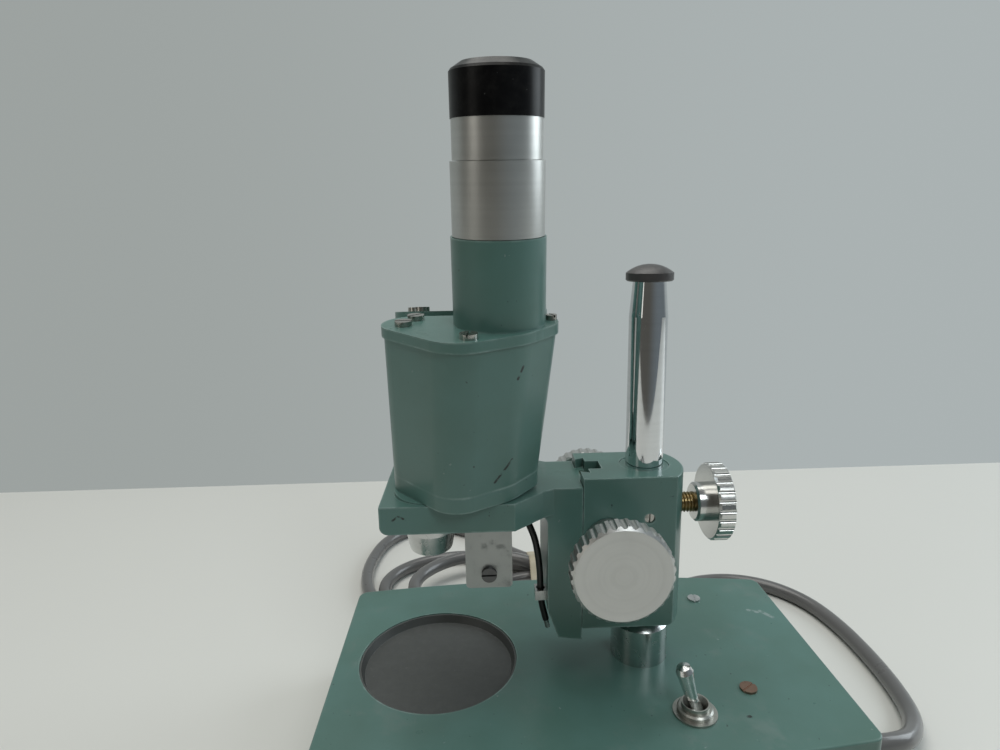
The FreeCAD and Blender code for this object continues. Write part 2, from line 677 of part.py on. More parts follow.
def make_lamp():
    made = Piece("lamp_bracket")
    left, right = S.lamp_x - S.bracket_left, S.lamp_x + S.bracket_left
    half = S.bracket_half
    made.pad(box_outline(made.sketch(offset=S.bracket_low), left, -half, right, half),
             S.plate_low - S.bracket_low)
    inner = half - S.sheet
    made.pocket(box_outline(made.sketch(offset=S.bracket_low), left - 1, -inner, right + 1, inner),
                S.plate_low - S.sheet - S.bracket_low, Reversed=True)
    made.soften("Fillet", 1.6, lambda edge: abs(edge.CenterOfMass.z - float(S.bracket_low)) < 0.1
                and edge.BoundBox.YLength > 1 and edge.BoundBox.XLength < 0.1
                or abs(edge.BoundBox.YLength - float(S.sheet)) < 0.01
                and abs(edge.CenterOfMass.z - float(S.bracket_low)) < 0.1)
    made.pocket(ring(made.sketch("XZ_Plane"), 1.55, S.lamp_x, S.lamp_level), 60.0, Midplane=True)
    screws = []
    for side, turn in ((-1, ALONG_MINUS_Y), (1, ALONG_Y)):
        here = spot(S.lamp_x, side * float(half), S.lamp_level, turn)
        screws.append(screw(f"lamp_screw_{side}", here, 2.9, 1.6, 1.5, 5.5, 0.0))
    group("lamp_screws", screws)
    aim = Rotation(Y_AXIS, 25.5)
    barrel = cylinder("lamp_barrel", S.lamp_radius, S.lamp_length, spot(z=-float(S.lamp_length) / 2))
    arms = cylinder("lamp_arms", 3.2, 24.8, spot(0, 12.4, 0, ALONG_MINUS_Y))
    cavity = cylinder("lamp_cavity", 5.2, 11.0, spot(z=-float(S.lamp_length) / 2))
    threads = [cylinder(f"lamp_thread_{side}", 1.5, 6.0, spot(0, side * 13.0, 0, turn))
               for side, turn in ((-1, ALONG_Y), (1, ALONG_MINUS_Y))]
    housing = cut("lamp_housing", fused("lamp_blank", [barrel, arms]),
                  fused("lamp_tool", [cavity] + threads))
    here = spot(S.lamp_x, 0, S.lamp_level, aim)
    housing.Placement = here
    named(housing, "lamp_housing")
    turned("lamp_bulb", [(0, 3.5), (2.4, 3.5), (2.4, -0.5), (3.2, -2.0), (2.6, -4.6), (0, -5.6)], here)


LEAD_ROUTE = [(-32.0, 0.0, 94.4), (-29.4, -0.4, 100.0), (-25.0, -2.0, 105.6), (-20.4, -4.0, 104.2),
              (-17.2, -5.2, 96.5), (-15.5, -5.8, 85.0), (-15.2, -6.0, 70.6), (-13.2, -6.0, 62.0)]


def make_lamp_lead():
    feature("lamp_lead", tube(LEAD_ROUTE, 1.3, "lamp lead"))
    block = box("clip_block", 4.3, 5.6, 4.0, spot(-17.6, -8.8, 72.0))
    hole = cylinder("clip_hole", 1.75, 12.0, spot(-15.3, -5.95, 68.0))
    clip = cut("clip_body", block, hole)
    end = Vector(*LEAD_ROUTE[-1])
    heading = end - Vector(*LEAD_ROUTE[-2])
    ferrule = cylinder("clip_ferrule", 1.0, 3.4, Placement(end, Rotation(Z_AXIS, heading)))
    group("lead_clip", [clip, ferrule])


# ------------------------------------------------------------------ microscope bodies

HOUSING_PLAN = [(-12.4, -2.6, 9.0), (11.5, -27.0, 13.0), (34.5, -14.8, 20.0), (46.0, -2.0, 7.0),
                (46.0, 11.5, 8.0), (-12.4, 11.5, 10.0)]
LOWER_SCALE = 0.9


def housing_plan(side, scale, inset=0.0):
    """Rounded plan of a prism housing, scaled about its back corner and drawn in by an even margin."""
    anchor = Vector(HOUSING_PLAN[-1][0], HOUSING_PLAN[-1][1], 0)
    points = [anchor + (Vector(x, y, 0) - anchor) * scale for x, y, _ in HOUSING_PLAN]
    rounding = [radius * scale - float(inset) for _, _, radius in HOUSING_PLAN]
    plan = []
    for number, point in enumerate(points):
        incoming = (point - points[number - 1]).normalize()
        outgoing = (points[(number + 1) % len(points)] - point).normalize()
        inward = Vector(-incoming.y - outgoing.y, incoming.x + outgoing.x, 0)
        corner = point + inward * (float(inset) / (1 + incoming.dot(outgoing)))
        reach = rounding[number] * math.tan(incoming.getAngle(outgoing) / 2)
        plan.append((corner - incoming * reach, rounding[number]))
        plan.append((corner + outgoing * reach, None))
    if side < 0:
        plan = [(Vector(point.x, -point.y, 0), plan[number - 1][1])
                for number, (point, _) in enumerate(plan)][::-1]
    return [(point.x, point.y, radius) if radius else (point.x, point.y) for point, radius in plan]


def make_housing(side, prefix):
    made = Piece(prefix + "_housing", body_frame(side))
    for kind, inset in (("AdditiveLoft", 0.0), ("SubtractiveLoft", S.housing_wall)):
        low = outline(made.sketch(offset=S.housing_low), housing_plan(side, LOWER_SCALE, inset))
        high = outline(made.sketch(offset=S.housing_high), housing_plan(side, 1.0, inset))
        loft = made.feature(kind, low)
        loft.Sections = [high]
        loft.Ruled = True
        high.Visibility = False
    share = (S.shelf_low - S.housing_low) / (S.housing_high - S.housing_low)
    scale = LOWER_SCALE + (1 - LOWER_SCALE) * float(share)
    shelf = outline(made.sketch(offset=S.shelf_low), housing_plan(side, scale, S.housing_wall / 2))
    made.pad(shelf, S.shelf_high - S.shelf_low)
    objective_x, turn_x, eye_x = 0.0, 13.4, SIZES["tube_x"]
    windows = made.sketch(offset=S.shelf_high)
    for x, y in ((objective_x, 0.0), (turn_x, -11.0), (eye_x, SIZES["tube_y"])):
        ring(windows, 3.2, x, side * y)
    made.pocket(windows, S.shelf_high - S.shelf_low)
    return made


def make_side(side, prefix):
    here = body_frame(side)
    tube_here = body_frame(side, 0.0, SIZES["tube_x"], SIZES["tube_y"])
    # objective: tapered nose, straight grip and the spigot that turns in the arm
    low, shoulder = S.objective_low, 22.2
    turned(prefix + "_objective", [
        (5.0, low), (8.0, low), (S.objective_radius, low + 8.0), (S.objective_radius, shoulder),
        (S.spigot_radius, shoulder), (S.spigot_radius, S.housing_low), (6.0, S.housing_low),
        (6.0, low + 2.0), (5.0, low + 2.0)], here)
    flange = Piece(prefix + "_flange", here)
    flange.pad(outline(flange.sketch(offset=S.flange_low), housing_plan(side, LOWER_SCALE)),
               S.housing_low - S.flange_low)
    flange.pocket(ring(flange.sketch(offset=S.housing_low), S.spigot_radius), 10.0)
    make_housing(side, prefix)
    make_optics(side, prefix, here)
    lid = Piece(prefix + "_lid", here)
    lid.pad(outline(lid.sketch(offset=S.housing_high), housing_plan(side, 1.0, -0.8)),
            S.lid_high - S.housing_high)
    tube_x, tube_y = S.tube_x, side * S.tube_y
    lid.pad(ring(lid.sketch(offset=S.housing_high), 17.2, tube_x, tube_y), S.lid_high - S.housing_high)
    lid.pocket(ring(lid.sketch(offset=S.lid_high), 13.4, tube_x, tube_y), 6.0)
    spots = [(-5.5, -1.0), (-2.0, 7.4), (16.5, -19.4), (44.7, 3.6)]
    holes = lid.sketch(offset=S.lid_high)
    for x, y in spots:
        ring(holes, 1.5, x, side * y)
    lid.pocket(holes, 6.0)
    group(prefix + "_lid_screws", [
        screw(f"{prefix}_lid_screw_{number}", here * spot(x, side * y, S.lid_high),
              2.9 if x < 40 else 1.9, 1.7, 1.5, 3.4, 40.0 * number)
        for number, (x, y) in enumerate(spots)])
    turned(prefix + "_ocular_tube", [
        (11.5, S.housing_high), (13.4, S.housing_high), (13.4, S.lid_high), (S.tube_radius, S.lid_high),
        (S.tube_radius, S.tube_high), (14.0 + S.fit, S.tube_high), (14.0 + S.fit, 103.0), (11.5, 103.0)],
        tube_here)
    turned(prefix + "_dioptre_sleeve", [
        (S.barrel_radius + S.fit, 103.6), (14.0, 103.6), (14.0, S.tube_high + 0.2),
        (S.sleeve_radius, S.tube_high + 0.2), (S.sleeve_radius, S.sleeve_high),
        (S.barrel_radius + S.fit, S.sleeve_high)], tube_here)
    turned(prefix + "_eyepiece", [
        (10.6, 112.0), (S.barrel_radius, 112.0), (S.barrel_radius, S.sleeve_high + 0.2),
        (S.eyepiece_radius, S.sleeve_high + 0.2), (S.eyepiece_radius, S.eyepiece_high),
        (10.6, S.eyepiece_high)], tube_here)
    rim = S.eyecap_radius
    turned(prefix + "_eye_cap", [
        (11.4, S.eyepiece_high), (rim, S.eyepiece_high), (rim, S.eyecap_rim - 0.8),
        (rim - 0.6, S.eyecap_rim), (S.eyecap_top, S.eyecap_high), (6.4, S.eyecap_high),
        (6.4, 174.4), (11.4, 170.5)], tube_here)
    upper = turned_shape([(0, 171.2), (10.2, 171.2), (6.4, 174.0), (0, 174.4)])
    lower = turned_shape([(0, 114.0), (10.6, 114.0), (10.6, 115.5), (0, 116.8)])
    feature(prefix + "_eye_lenses", Part.makeCompound([upper, lower]), tube_here)


def turned_shape(profile):
    points = [Vector(float(radius), 0, float(height)) for radius, height in profile]
    face = Part.Face(Part.makePolygon(points + points[:1]))
    return face.revolve(Vector(), Z_AXIS, 360)


def prism(start, end, level, up):
    """Right-angle prism over two light paths; its long face is at level and its ridge points up or down."""
    along = (end - start).normalize()
    across = Vector(-along.y, along.x, 0)
    margin, half_width = 4.6, 4.5
    first, last = start - along * margin, end + along * margin
    ridge = (first + last) / 2 + Z_AXIS * (up * (last - first).Length / 2)
    shift = across * -half_width + Z_AXIS * level
    corners = [first + shift, last + shift, ridge + shift]
    return Part.Face(Part.makePolygon(corners + corners[:1])).extrude(across * (2 * half_width))


def make_optics(side, prefix, here):
    objective, turn_point = Vector(0, 0, 0), Vector(13.4, side * -11.0, 0)
    eye = Vector(SIZES["tube_x"], side * SIZES["tube_y"], 0)
    upper = prism(objective, turn_point, SIZES["shelf_high"], 1)
    lower = prism(turn_point, eye, SIZES["shelf_low"], -1)
    low = SIZES["objective_low"] + 2.0
    lens = turned_shape([(0, low), (6.0, low), (6.0, low + 1.6), (0, low + 3.2)])
    feature(prefix + "_optics", Part.makeCompound([upper, lower, lens]), here)


# ------------------------------------------------------------------ cord

def rounded_path(route, label):
    """Straight runs joined by tangent arcs, each arc as large as its two runs allow."""
    points = [Vector(*point) for point in route]
    edges, start, radii = [], points[0], []
    for before, corner, after in zip(points, points[1:], points[2:]):
        incoming, outgoing = (corner - before), (after - corner)
        turn = incoming.getAngle(outgoing)
        reach = 0.45 * min(incoming.Length, outgoing.Length)
        radius = reach / math.tan(turn / 2)
        entry = corner - incoming.normalize() * reach
        leave = corner + outgoing.normalize() * reach
        inward = (outgoing - incoming).normalize()
        middle = corner + inward * (radius / math.cos(turn / 2) - radius)
        edges.append(Part.LineSegment(start, entry).toShape())
        edges.append(Part.Arc(entry, middle, leave).toShape())
        start = leave
        radii.append(round(radius, 1))
    edges.append(Part.LineSegment(start, points[-1]).toShape())
    print(label, "radii", radii)
    return Part.Wire(edges)


def tube(route, radius, label):
    path = rounded_path(route, label)
    start = path.Edges[0].valueAt(path.Edges[0].FirstParameter)
    heading = path.Edges[0].tangentAt(path.Edges[0].FirstParameter)
    section = Part.Wire([Part.Circle(start, heading, radius).toShape()])
    solid = path.makePipeShell([section], True, False)
    expected = math.pi * radius ** 2 * path.Length
    print(label, "volume", round(solid.Volume, 1), "section times length", round(expected, 1),
          "length", round(path.Length, 1))
    if abs(solid.Volume / expected - 1) > 0.01:
        raise RuntimeError(label + ": the tube's volume is off")
    return solid


CORD_ROUTE = [(114.0, -22.0, 11.5), (125.0, -22.0, 11.5), (137.5, -14.5, 7.6), (147.5, -1.0, 4.9),
              (152.6, 20.0, 4.0), (154.2, 44.0, 3.9), (153.4, 68.0, 3.9), (148.5, 90.5, 3.9),
              (135.5, 108.5, 3.9), (116.0, 118.0, 3.9), (96.0, 118.4, 3.9), (79.4, 113.8, 3.9)]
PLUG_ROUTE = [(-29.0, 84.6, 8.4), (-17.0, 83.2, 8.0), (-2.0, 80.6, 8.0), (14.0, 79.0, 8.0)]
HANK_OUTLINE = [(-117.0, 148.0), (-113.0, 120.0), (-102.0, 94.0), (-78.0, 81.0), (-54.0, 78.5),
                (-35.0, 82.5), (-18.0, 102.0), (-5.0, 110.5), (10.0, 104.0), (32.0, 96.0), (58.0, 96.5),
                (75.0, 109.0), (80.0, 134.0), (73.0, 158.0), (52.0, 167.5), (28.0, 163.5), (10.0, 156.5),
                (-5.0, 158.0), (-26.0, 180.0), (-47.0, 202.0), (-72.0, 211.0), (-97.0, 203.5),
                (-112.0, 180.0)]
HANK_HEIGHT = 16.2
TIE = {"x": -5.0, "width": 8.0, "near": 113.6, "far": 154.8, "low": 1.0, "high": 16.2, "band": 0.8}


def make_strain_relief():
    wall, neck = float(S.base_length / 2), 6.25
    end = float(S.cord_exit_x)
    inside = wall - float(S.base_wall)
    turned("strain_relief", [
        (S.cord_radius, inside - 4.0), (6.6, inside - 4.0), (6.6, inside), (neck, inside), (neck, wall),
        (7.6, wall), (7.6, wall + 1.6), (6.2, wall + 2.4), (4.9, end), (0, end), (0, end - 1.0),
        (S.cord_radius, end - 1.0)],
        spot(0, S.cord_exit_y, S.cord_exit_level, ALONG_X))


def make_cords():
    radius = SIZES["cord_radius"]
    leads = [tube(CORD_ROUTE, radius, "power cord"), tube(PLUG_ROUTE, radius, "plug end of the cord")]
    feature("power_cord", Part.makeCompound(leads))
    curve = Part.BSplineCurve()
    curve.interpolate([Vector(x, y, 0.2) for x, y in HANK_OUTLINE], PeriodicFlag=True)
    hank = Part.Face(Part.Wire([curve.toShape()])).extrude(Z_AXIS * HANK_HEIGHT)
    half = TIE["width"] / 2
    tall = Part.makeBox(TIE["width"], 80, HANK_HEIGHT + 2, Vector(TIE["x"] - half, 100, -1))
    waist = Part.makeBox(TIE["width"], TIE["far"] - TIE["near"], TIE["high"] - TIE["low"],
                         Vector(TIE["x"] - half, TIE["near"], TIE["low"]))
    feature("cord_hank", hank.cut(tall).fuse(hank.common(waist)).removeSplitter())
    band = TIE["band"]
    outside = Part.makeBox(TIE["width"], TIE["far"] - TIE["near"] + 2 * band,
                           TIE["high"] - TIE["low"] + 2 * band,
                           Vector(TIE["x"] - half, TIE["near"] - band, TIE["low"] - band))
    feature("cord_tie", outside.cut(waist))


def make_plug():
    level = 8.0
    start = Vector(*PLUG_ROUTE[-1])
    heading = start - Vector(*PLUG_ROUTE[-2])
    turn = math.degrees(math.atan2(heading.y, heading.x))
    made = Piece("plug_body", spot(start.x, start.y, level, Rotation(Z_AXIS, turn)))
    grip = made.sketch()
    outline(grip, [(18.0, -6.5), (26.0, -12.5), (42.0, -12.5), (46.0, -10.5), (46.0, 10.5), (42.0, 12.5),
                   (26.0, 12.5), (18.0, 6.5)])
    made.pad(grip, 15.0, Midplane=True)
    relief = made.sketch("XZ_Plane")
    outline(relief, [(0, 0), (20.0, 0), (20.0, 6.0), (0, 4.6)])
    turn = made.feature("Revolution", relief)
    turn.ReferenceAxis = (relief, ["H_Axis"])
    turn.Angle = 360.0
    made.soften("Fillet", 2.0, lambda edge: upright(edge) and edge.CenterOfMass.x > 20)
    blades = []
    for side in (-1, 1):
        blade = box(f"blade_{side}", 16.5, 1.6, 6.4, spot(46.0, side * 6.35 - 0.8, -3.2))
        hole = cylinder(f"blade_hole_{side}", 1.5, 8.0, spot(58.5, side * 6.35 - 4, 0, ALONG_Y))
        part = cut(f"plug_blade_{side}", blade, hole)
        part.Placement = made.body.Placement
        blades.append(part)
    group("plug_blades", blades)


# ------------------------------------------------------------------ build, check and write

make_base_shell()
make_base_cover()
make_feet()
make_stage_plate()
make_pillar()
make_switch()
make_transformer()
make_focus_block()
make_block_fittings()
make_clamp()
make_focus_shaft()
make_focus_knobs()
make_arm_casting()
make_rack()
make_lamp()
make_lamp_lead()
for body_side, body_name in ((1, "near"), (-1, "far")):
    make_side(body_side, body_name)
make_strain_relief()
make_cords()
make_plug()
doc.recompute()

for item in doc.Objects:
    if "Invalid" in item.State or "Error" in item.State:
        raise RuntimeError(f"{item.Label} failed: {item.State}")
os.makedirs("parts", exist_ok=True)
for item in SUBPARTS:
    if item.Shape.isNull() or not item.Shape.isValid():
        raise RuntimeError(f"{item.Label} has no valid shape")
    item.Shape.exportStep(f"parts/{item.Label}.step")
print(len(SUBPARTS), "sub-parts written")
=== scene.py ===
import math

import bmesh
import bpy
from mathutils import Matrix, Vector


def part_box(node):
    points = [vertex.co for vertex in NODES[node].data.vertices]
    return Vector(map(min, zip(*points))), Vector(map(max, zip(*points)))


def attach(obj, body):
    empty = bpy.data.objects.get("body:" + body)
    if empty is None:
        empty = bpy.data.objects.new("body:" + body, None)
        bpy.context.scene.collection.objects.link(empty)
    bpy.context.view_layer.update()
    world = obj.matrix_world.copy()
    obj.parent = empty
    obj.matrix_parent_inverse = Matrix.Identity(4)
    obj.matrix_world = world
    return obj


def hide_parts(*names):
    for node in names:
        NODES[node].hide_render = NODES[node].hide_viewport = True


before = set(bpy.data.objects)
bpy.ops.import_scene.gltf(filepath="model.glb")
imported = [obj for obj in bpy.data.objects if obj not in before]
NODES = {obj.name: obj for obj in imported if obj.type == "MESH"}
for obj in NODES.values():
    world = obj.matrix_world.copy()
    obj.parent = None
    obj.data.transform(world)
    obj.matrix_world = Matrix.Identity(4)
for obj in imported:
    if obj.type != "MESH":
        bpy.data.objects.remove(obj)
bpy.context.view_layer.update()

MM = 0.001
SIDES = (("near", -1), ("far", 1))
scene = bpy.context.scene


def millimetres(x, y, z):
    """A place given in millimetres, in metres."""
    return Vector((x, y, z)) * MM


# ---------------------------------------------------------------- camera

CAMERA_PLACE = (-37.4, -234.4, 210.15)
CAMERA_PITCH, CAMERA_ROLL, CAMERA_YAW = 11.87, 0.95, 1.88
CAMERA_LENS, CAMERA_SENSOR = 22.91, 36.0


def add_camera():
    """Pitched down, rolled a little and turned a little towards +X. Angles are in degrees."""
    pitch, roll, yaw = (math.radians(angle) for angle in (CAMERA_PITCH, CAMERA_ROLL, CAMERA_YAW))
    forward = Vector((math.sin(yaw) * math.cos(pitch), math.cos(yaw) * math.cos(pitch),
                      -math.sin(pitch)))
    level = Vector((math.cos(yaw), -math.sin(yaw), 0))
    upward = level.cross(forward)
    right = level * math.cos(roll) - upward * math.sin(roll)
    up = level * math.sin(roll) + upward * math.cos(roll)
    data = bpy.data.cameras.new("camera")
    data.sensor_width = CAMERA_SENSOR
    data.lens = CAMERA_LENS
    data.clip_start = 10 * MM
    camera = bpy.data.objects.new("camera", data)
    turn = Matrix((right, up, -forward)).transposed().to_4x4()
    camera.matrix_world = Matrix.Translation(millimetres(*CAMERA_PLACE)) @ turn
    scene.collection.objects.link(camera)
    scene.camera = camera


add_camera()


# ---------------------------------------------------------------- mesh helpers

def link(name, data, body, smooth=True):
    """Put a new piece in the scene, riding on a body."""
    made = bpy.data.objects.new(name, data)
    scene.collection.objects.link(made)
    if body:
        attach(made, body)
    if smooth and hasattr(data, "polygons"):
        for face in data.polygons:
            face.use_smooth = True
    return made


def mesh_from(name, points, faces):
    """A mesh in metres with its faces turned outwards."""
    mesh = bpy.data.meshes.new(name)
    mesh.from_pydata([tuple(point) for point in points], [], faces)
    mesh.validate()
    work = bmesh.new()
    work.from_mesh(mesh)
    bmesh.ops.recalc_face_normals(work, faces=work.faces)
    work.to_mesh(mesh)
    work.free()
    return mesh


def loft(name, rings, closed=False):
    """Skin over rings of equal length. The ends are capped unless the loft closes on itself."""
    count = len(rings[0])
    points = [point for ring in rings for point in ring]
    faces = []
    for row in range(len(rings) if closed else len(rings) - 1):
        for step in range(count):
            a, b = row * count + step, row * count + (step + 1) % count
            c = ((row + 1) % len(rings)) * count
            faces.append((a, b, c + (step + 1) % count, c + step))
    if not closed:
        faces.append(tuple(range(count))[::-1])
        faces.append(tuple((len(rings) - 1) * count + step for step in range(count)))
    return mesh_from(name, points, faces)


def lathe(name, profile, steps):
    """Closed (radius, height) profile turned about Z, in millimetres."""
    rings = []
    for step in range(steps):
        angle = 2 * math.pi * step / steps
        rings.append([Vector((radius * math.cos(angle), radius * math.sin(angle), height)) * MM
                      for radius, height in profile])
    return loft(name, rings, closed=True)


def bevel(thing, width, angle=35):
    """Round the edges of a piece that are sharper than an angle. The width is in millimetres."""
    made = thing.modifiers.new("edges", "BEVEL")
    made.width = width * MM
    made.segments = 2
    made.limit_method = "ANGLE"
    made.angle_limit = math.radians(angle)
    made.use_clamp_overlap = True
    made.harden_normals = True


# ---------------------------------------------------------------- cord

QUARTER_TURN = Matrix.Rotation(math.pi / 2, 4, "Y")
CORD_RADIUS = 3.8

# Out of the strain relief, round the base's right end and along its back.
CORD_POINTS = [
    (114.0, -22.0, 11.5), (125.0, -22.0, 11.5), (137.5, -14.5, 7.6), (147.5, -1.0, 4.9),
    (152.6, 20.0, 4.0), (154.2, 44.0, 3.9), (153.4, 68.0, 3.9), (148.5, 90.5, 3.9),
    (135.5, 108.5, 3.9), (116.0, 118.0, 3.9), (94.0, 117.6, 3.9), (74.0, 108.5, 3.9),
    # first turn of the hank
    (53, 101.5, 3.9), (31, 102.5, 4.0), (10, 113.0, 4.4), (-9, 120.5, 4.6), (-28, 113, 4.3),
    (-47, 100, 3.9), (-68, 89, 3.9), (-90, 92.5, 3.9), (-105, 110, 3.9), (-112, 135, 3.9),
    (-111.5, 160, 3.9), (-106, 184, 3.9), (-91, 202, 3.9), (-68, 206, 3.9), (-49, 197, 3.9),
    (-34, 181.5, 3.9), (-20, 162, 4.3), (-5, 148.0, 4.6), (14, 149.0, 4.3), (34, 159.0, 4.0),
    (55, 162.5, 3.9), (70.5, 152, 3.9), (75, 133, 3.9), (66, 116, 3.9), (48, 110.0, 3.9),
    # second turn
    (28, 114.0, 4.0), (9, 124.5, 4.5), (-10, 129.0, 4.6), (-28, 122, 4.2), (-46, 109.5, 3.9),
    (-65, 99.5, 3.9), (-84, 99.0, 3.9), (-97.5, 112, 3.9), (-98.5, 130, 3.9), (-88.5, 145.5, 3.9),
    (-71, 155.5, 3.9), (-49, 159.5, 3.9), (-29, 153.0, 4.1), (-11, 140.5, 4.5), (7, 138.0, 4.6),
    (24, 144.5, 4.4), (40, 150.5, 4.3), (56, 148, 5.0), (66.5, 134.5, 8.0), (64, 116, 11.6),
    # last half turn, over the others, and out to the plug
    (50, 103.0, 12.2), (31, 101.5, 12.2), (14, 110, 12.3), (2, 122, 12.4), (-9, 133.5, 12.3),
    (-25, 142.0, 12.2), (-46, 144.5, 11.9), (-67, 134, 11.8), (-80, 115, 11.9), (-76, 95, 12.0),
    (-58, 83.5, 11.8), (-37, 85.6, 9.8), (-18.0, 83.4, 8.0), (-2.0, 80.6, 8.0), (14.0, 79.0, 8.0)]


def add_cord():
    """One open spline from the strain relief to the plug."""
    data = bpy.data.curves.new("mains_cord", "CURVE")
    data.dimensions = "3D"
    data.bevel_depth = 1.0  # multiplied by each point's radius
    data.bevel_resolution = 8
    data.use_fill_caps = True
    spline = data.splines.new("NURBS")
    spline.points.add(len(CORD_POINTS) - 1)
    for point, place in zip(spline.points, CORD_POINTS):
        point.co = (*(value * MM for value in place), 1.0)
        point.radius = CORD_RADIUS * MM
    spline.order_u = 3
    spline.use_endpoint_u = True
    spline.resolution_u = 10
    made = link("mains_cord", data, "base")
    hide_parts("power_cord", "cord_hank")
    return made


# The tie's outline round the strands, as (Y, Z), and how far each of its rings stands out from it.
TIE_OUTLINE = [(112.9, 1.6), (113.6, 0.5), (116, 0.25), (152, 0.25), (154.9, 0.8), (155.4, 3.0),
               (155.2, 6.5), (153.2, 9.3), (146, 10.4), (138.2, 14.4), (134.4, 16.7), (128.5, 17.0),
               (124.2, 15.2), (119.5, 10.6), (114.9, 9.2), (112.8, 6.4)]
TIE_OUTSIDE = [(-9.2, -0.35), (-8.7, 0.05), (-7.2, 0.15), (-5.0, 0.22), (-2.8, 0.15), (-1.3, 0.05),
               (-0.8, -0.35)]
TIE_INSIDE = [(-0.8, -0.7), (-5.0, -0.7), (-9.2, -0.7)]
TIE_LOWEST = 0.2


def add_tie():
    """Flat band drawn round the five strands that cross at the hank's waist."""
    rings = []
    for x, swell in TIE_OUTSIDE + TIE_INSIDE:
        ring = []
        for number, (y, z) in enumerate(TIE_OUTLINE):
            before, after = TIE_OUTLINE[number - 1], TIE_OUTLINE[(number + 1) % len(TIE_OUTLINE)]
            normal = Vector((0, after[1] - before[1], before[0] - after[0])).normalized()
            ring.append(millimetres(x, y + normal.y * swell, max(TIE_LOWEST, z + normal.z * swell)))
        rings.append(ring)
    made = link("hank_tie", loft("hank_tie", rings, closed=True), "base")
    smooth = made.modifiers.new("smooth", "SUBSURF")
    smooth.levels = smooth.render_levels = 2
    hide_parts("cord_tie")
    return made


def rounded_section(width, height, corner, steps=6):
    """Rounded rectangle as (across, up) points."""
    points = []
    for quarter, (sign_a, sign_b) in enumerate(((1, 1), (-1, 1), (-1, -1), (1, -1))):
        for step in range(steps + 1):
            angle = math.pi / 2 * (quarter + step / steps)
            points.append((sign_a * (width / 2 - corner) + corner * math.cos(angle),
                           sign_b * (height / 2 - corner) + corner * math.sin(angle)))
    return points


def plug_sections():
    """The plug's sections as (distance along, width, height, corner radius)."""
    stations = [(-1.5, 8.4, 8.4, 4.1), (0.0, 9.2, 9.2, 4.5)]
    for rib in range(5):
        along, grow = 1.5 + rib * 3.3, 0.35 * rib
        stations += [(along, 9.4 + grow, 9.4 + grow, 4.6 + grow / 2),
                     (along + 0.4, 8.2 + grow, 8.2 + grow, 4.05 + grow / 2),
                     (along + 1.3, 8.2 + grow, 8.2 + grow, 4.05 + grow / 2),
                     (along + 1.7, 9.6 + grow, 9.6 + grow, 4.7 + grow / 2)]
    stations += [(18.2, 12.0, 11.4, 4.6), (21.0, 16.5, 13.2, 4.4), (25.0, 21.6, 14.4, 4.2),
                 (28.0, 23.4, 14.8, 4.0)]
    for ridge in range(4):
        along = 29.6 + ridge * 2.8
        stations += [(along, 23.6, 14.8, 3.6), (along + 0.5, 22.3, 14.2, 3.6),
                     (along + 1.4, 22.3, 14.2, 3.6), (along + 1.9, 23.8, 14.8, 3.6)]
    return stations + [(42.5, 24.6, 14.8, 3.2), (44.8, 24.6, 14.8, 3.0), (45.7, 23.9, 14.3, 2.8),
                       (46.0, 22.6, 13.4, 2.5)]


def add_plug():
    """Moulded flat plug: ribbed relief, waisted grip with finger ridges, and a flat face."""
    start, previous = Vector(CORD_POINTS[-1]), Vector(CORD_POINTS[-2])
    heading = (start - previous).normalized()
    side = Vector((-heading.y, heading.x, 0))
    rings = []
    for along, width, height, corner in plug_sections():
        centre = start + heading * along
        rings.append([(centre + side * a + Vector((0, 0, b))) * MM
                      for a, b in rounded_section(width, height, min(corner, height / 2 - 0.05))])
    made = link("plug_moulding", loft("plug_moulding", rings), "base")
    bevel(made, 0.25, 40)
    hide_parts("plug_body")
    return made


def add_strain_relief():
    """Ribbed rubber boot with a collar against the end wall. Profile points are (radius, X)."""
    bore = CORD_RADIUS + 0.05
    profile = [(bore, 92.0), (6.5, 92.0), (6.5, 95.4), (6.15, 95.5), (6.15, 98.6), (7.4, 98.6),
               (7.6, 98.9), (7.6, 99.9), (7.3, 100.3), (6.5, 100.6)]
    for rib in range(5):
        base, radius = 101.2 + rib * 2.4, 6.2 - rib * 0.2
        profile += [(radius - 0.75, base), (radius - 0.75, base + 0.8), (radius, base + 1.1),
                    (radius - 0.1, base + 2.1)]
    profile += [(4.9, 113.8), (4.7, 114.0), (bore, 114.0)]
    mesh = lathe("strain_boot", profile, 48)
    exit_y, exit_level = CORD_POINTS[0][1:]
    mesh.transform(Matrix.Translation(millimetres(0, exit_y, exit_level)) @ QUARTER_TURN)
    made = link("strain_boot", mesh, "base")
    bevel(made, 0.12, 30)
    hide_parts("strain_relief")
    return made


THREAD_PITCH, THREAD_DEPTH, THREAD_STEPS = 1.25 * MM, 0.75 * MM, 28


